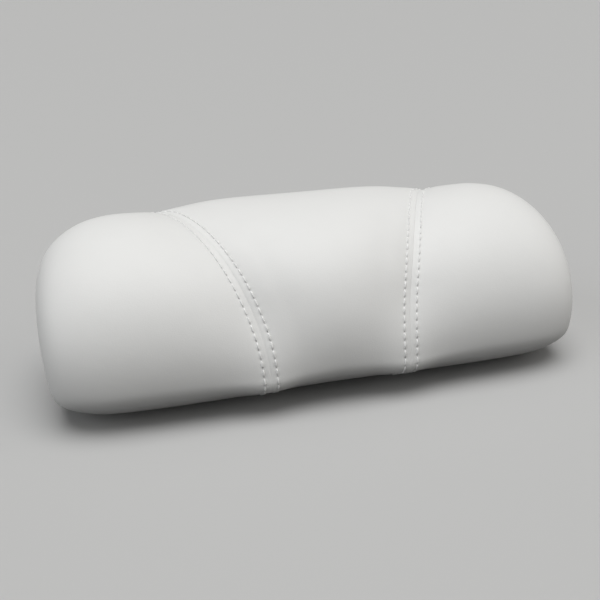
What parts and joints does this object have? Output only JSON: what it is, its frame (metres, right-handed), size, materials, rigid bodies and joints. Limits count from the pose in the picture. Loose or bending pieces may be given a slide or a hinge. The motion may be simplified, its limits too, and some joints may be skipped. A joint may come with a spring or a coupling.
{
  "type": "bath pillow",
  "caption": "Sewn vinyl bath pillow: a foam-filled crowned bolster parted by stitched seams, on a flat back with recessed suction cups that hold it to a bath wall.",
  "frame": {"origin": "under the middle of the pillow, in the plane of the suction cups' rims", "axes": "+X along the pillow to the right hand of a person facing its padded face with its upper edge up, +Y to its upper edge, +Z out of the padded face"},
  "size_m": [0.3394, 0.1484, 0.1057],
  "materials": {
    "cover_vinyl": "smooth matte white vinyl",
    "backing_vinyl": "plain matte vinyl",
    "foam": "open-cell polyurethane foam",
    "seam_tape": "woven polyester tape",
    "thread": "bonded polyester thread",
    "board_plastic": "polypropylene sheet",
    "socket_plastic": "moulded white plastic",
    "stud_plastic": "moulded white plastic",
    "screw_steel": "stainless steel",
    "cup_rubber": "soft translucent PVC"
  },
  "bodies": {
    "pillow": {"centre_cover_panel": "cover_vinyl", "left_cover_panel": "cover_vinyl", "right_cover_panel": "cover_vinyl", "back_panel": "backing_vinyl", "centre_foam_pad": "foam", "left_foam_bolster": "foam", "right_foam_bolster": "foam", "left_seam_tape": "seam_tape", "right_seam_tape": "seam_tape", "left_inner_stitch_row": "thread", "left_outer_stitch_row": "thread", "right_inner_stitch_row": "thread", "right_outer_stitch_row": "thread", "base_board": "board_plastic", "left_cup_socket": "socket_plastic", "right_cup_socket": "socket_plastic", "left_inner_screw": "screw_steel", "left_outer_screw": "screw_steel", "right_inner_screw": "screw_steel", "right_outer_screw": "screw_steel"},
    "left_stud": {"left_cup_stud": "stud_plastic"},
    "left_cup": {"left_suction_cup": "cup_rubber"},
    "right_stud": {"right_cup_stud": "stud_plastic"},
    "right_cup": {"right_suction_cup": "cup_rubber"}
  },
  "joints": [
    {"name": "left_stud_slide", "type": "slide", "parent": "pillow", "child": "left_stud", "axis": [0, -1, 0], "range_m": [0, 0.012]},
    {"name": "left_cup_spin", "type": "hinge", "parent": "left_stud", "child": "left_cup", "pos_m": [-0.095, 0.006, 0], "axis": [0, 0, 1], "continuous": true},
    {"name": "right_stud_slide", "type": "slide", "parent": "pillow", "child": "right_stud", "axis": [0, -1, 0], "range_m": [0, 0.012]},
    {"name": "right_cup_spin", "type": "hinge", "parent": "right_stud", "child": "right_cup", "pos_m": [0.095, 0.006, 0], "axis": [0, 0, 1], "continuous": true}
  ]
}
